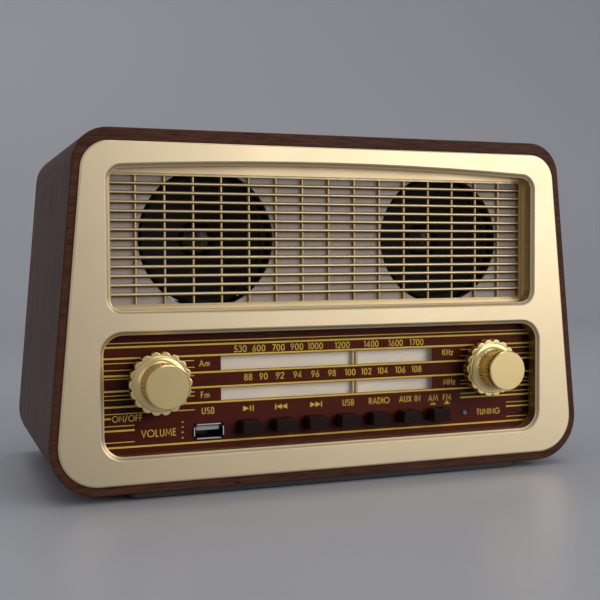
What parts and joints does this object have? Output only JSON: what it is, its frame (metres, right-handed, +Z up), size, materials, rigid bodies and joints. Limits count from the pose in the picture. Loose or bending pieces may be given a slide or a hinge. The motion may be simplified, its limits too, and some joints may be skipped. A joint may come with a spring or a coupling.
{
  "type": "tabletop radio",
  "caption": "Wooden-cased tabletop radio with a tapered rounded front, twin speakers behind a lattice, a long tuning scale, two knobs and a row of keys.",
  "frame": {"origin": "centre of the whole object's box, on the surface it stands on", "axes": "+X to the right as seen from the front, +Y from the front to the back, +Z up"},
  "size_m": [0.2764, 0.1672, 0.1699],
  "materials": {
    "walnut": "satin walnut veneer",
    "pine": "sawn softwood",
    "black_plastic": "fine satin black moulding",
    "foot_rubber": "soft black rubber",
    "champagne": "satin champagne gold paint",
    "grille_gold": "pale gold with a brown shade side",
    "baffle_cloth": "beige cloth-covered board",
    "clear_panel": "clear polished acrylic",
    "panel_print": "deep maroon back print",
    "scale_cream": "cream scale background",
    "zinc_steel": "zinc-plated sheet",
    "steel": "bright drawn steel",
    "brass": "turned brass",
    "knob_gold": "vacuum-metallised pale gold",
    "key_black": "glossy black-brown moulding",
    "cone_paper": "black pressed paper",
    "cap_paper": "black lacquered dust cap",
    "basket_steel": "black pressed steel",
    "magnet": "ferrite magnet with plated plates",
    "circuit_board": "green lacquered circuit board",
    "switch_black": "moulded switch body",
    "cord_fibre": "waxed cotton dial cord",
    "pointer_amber": "amber translucent strip with a red line",
    "white_plastic": "moulded white plastic",
    "lamp": "clear lamp lens",
    "usb_metal": "bright nickel plate",
    "ferrite": "black ferrite with a coil",
    "copper": "enamelled copper winding",
    "core_iron": "stacked iron sheets",
    "rear_board": "textured black rear board",
    "aerial_chrome": "bright chrome tube"
  },
  "bodies": {
    "root": {"cabinet_shell": "walnut", "corner_blocks": "pine", "base_plinth": "black_plastic", "foot_pads": "foot_rubber", "front_bezel": "champagne", "speaker_grille": "grille_gold", "speaker_baffle": "baffle_cloth", "dial_glass": "clear_panel", "dial_print": "panel_print", "scale_tray": "scale_cream", "dial_chassis": "zinc_steel", "chassis_screws": "steel", "key_board": "circuit_board", "rear_panel": "rear_board", "rear_screws": "steel", "mains_inlet": "black_plastic", "inlet_pins": "steel", "left_speaker_basket": "basket_steel", "left_speaker_magnet": "magnet", "right_speaker_basket": "basket_steel", "right_speaker_magnet": "magnet", "speaker_screws": "steel", "volume_pot": "steel", "tuning_bush": "brass", "tuning_capacitor": "white_plastic", "idler_pins": "steel", "dial_cord": "cord_fibre", "pointer_rail": "steel", "key_switches": "switch_black", "usb_socket": "usb_metal", "usb_tongue": "white_plastic", "status_led": "lamp", "main_board": "circuit_board", "ferrite_rod": "ferrite", "transformer_core": "core_iron", "transformer_coil": "copper", "antenna_base": "black_plastic"},
    "tuning": {"tuning_knob": "knob_gold", "tuning_spindle": "steel"},
    "volume": {"volume_knob": "knob_gold", "volume_shaft": "steel"},
    "pointer": {"dial_pointer": "pointer_amber"},
    "drum": {"dial_drum": "white_plastic"},
    "idler_left": {"left_idler": "white_plastic"},
    "idler_right": {"right_idler": "white_plastic"},
    "cone_left": {"left_speaker_cone": "cone_paper", "left_dust_cap": "cap_paper"},
    "cone_right": {"right_speaker_cone": "cone_paper", "right_dust_cap": "cap_paper"},
    "aerial_foot": {"antenna_knuckle": "aerial_chrome"},
    "aerial_tube": {"antenna_tube": "aerial_chrome"},
    "aerial_middle": {"antenna_middle": "aerial_chrome"},
    "aerial_tip": {"antenna_tip": "aerial_chrome"},
    "key_play": {"play_button": "key_black"},
    "key_previous": {"previous_button": "key_black"},
    "key_next": {"next_button": "key_black"},
    "key_usb": {"usb_button": "key_black"},
    "key_radio": {"radio_button": "key_black"},
    "key_aux": {"aux_button": "key_black"},
    "key_band": {"band_button": "key_black"}
  },
  "joints": [
    {"name": "tuning_turn", "type": "hinge", "parent": "root", "child": "tuning", "pos_m": [0.0873, -0.0696, 0.0532], "axis": [0, 1, 0], "range_deg": [-1017.54, 545.89]},
    {"name": "pointer_slide", "type": "slide", "parent": "root", "child": "pointer", "axis": [1, 0, 0], "range_m": [-0.0613, 0.0329]},
    {"name": "drum_turn", "type": "hinge", "parent": "root", "child": "drum", "pos_m": [0.038, -0.0446, 0.0442], "axis": [0, 1, 0], "range_deg": [-115.34, 61.91]},
    {"name": "left_idler_turn", "type": "hinge", "parent": "root", "child": "idler_left", "pos_m": [-0.062, -0.0446, 0.0748], "axis": [0, 1, 0], "range_deg": [-889.17, 477.22]},
    {"name": "right_idler_turn", "type": "hinge", "parent": "root", "child": "idler_right", "pos_m": [0.062, -0.0446, 0.0748], "axis": [0, 1, 0], "range_deg": [-889.17, 477.22]},
    {"name": "volume_turn", "type": "hinge", "parent": "root", "child": "volume", "pos_m": [-0.0873, -0.0696, 0.0532], "axis": [0, 1, 0], "range_deg": [0, 300]},
    {"name": "play_press", "type": "slide", "parent": "root", "child": "key_play", "axis": [0, 1, 0], "range_m": [0, 0.002], "stiffness_N_per_m": 400, "springref_m": -0.0005},
    {"name": "previous_press", "type": "slide", "parent": "root", "child": "key_previous", "axis": [0, 1, 0], "range_m": [0, 0.002], "stiffness_N_per_m": 400, "springref_m": -0.0005},
    {"name": "next_press", "type": "slide", "parent": "root", "child": "key_next", "axis": [0, 1, 0], "range_m": [0, 0.002], "stiffness_N_per_m": 400, "springref_m": -0.0005},
    {"name": "usb_press", "type": "slide", "parent": "root", "child": "key_usb", "axis": [0, 1, 0], "range_m": [0, 0.003], "stiffness_N_per_m": 400, "springref_m": -0.0005},
    {"name": "radio_press", "type": "slide", "parent": "root", "child": "key_radio", "axis": [0, 1, 0], "range_m": [0, 0.003], "stiffness_N_per_m": 400, "springref_m": -0.0005},
    {"name": "aux_press", "type": "slide", "parent": "root", "child": "key_aux", "axis": [0, 1, 0], "range_m": [0, 0.003], "stiffness_N_per_m": 400, "springref_m": -0.0005},
    {"name": "band_press", "type": "slide", "parent": "root", "child": "key_band", "axis": [0, 1, 0], "range_m": [0, 0.003], "stiffness_N_per_m": 400, "springref_m": -0.0005},
    {"name": "left_cone_travel", "type": "slide", "parent": "root", "child": "cone_left", "axis": [0, 1, 0], "range_m": [-0.001, 0.001], "stiffness_N_per_m": 1000},
    {"name": "right_cone_travel", "type": "slide", "parent": "root", "child": "cone_right", "axis": [0, 1, 0], "range_m": [-0.001, 0.001], "stiffness_N_per_m": 1000},
    {"name": "aerial_swivel", "type": "hinge", "parent": "root", "child": "aerial_foot", "pos_m": [0.088, 0.0802, 0.1412], "axis": [0, 1, 0], "range_deg": [0, 180]},
    {"name": "aerial_tilt", "type": "hinge", "parent": "aerial_foot", "child": "aerial_tube", "pos_m": [0.088, 0.0802, 0.1412], "axis": [0, 0, -1], "range_deg": [0, 90]},
    {"name": "aerial_middle_pull", "type": "slide", "parent": "aerial_tube", "child": "aerial_middle", "axis": [-1, 0, 0], "range_m": [0, 0.145]},
    {"name": "aerial_tip_pull", "type": "slide", "parent": "aerial_middle", "child": "aerial_tip", "axis": [-1, 0, 0], "range_m": [0, 0.145]}
  ],
  "couplings": [
    {"joint": "pointer_slide", "follows": "tuning_turn", "m_per_rad": 0.00345},
    {"joint": "drum_turn", "follows": "tuning_turn", "ratio": 0.1133},
    {"joint": "left_idler_turn", "follows": "tuning_turn", "ratio": 0.87342},
    {"joint": "right_idler_turn", "follows": "tuning_turn", "ratio": 0.87342}
  ]
}
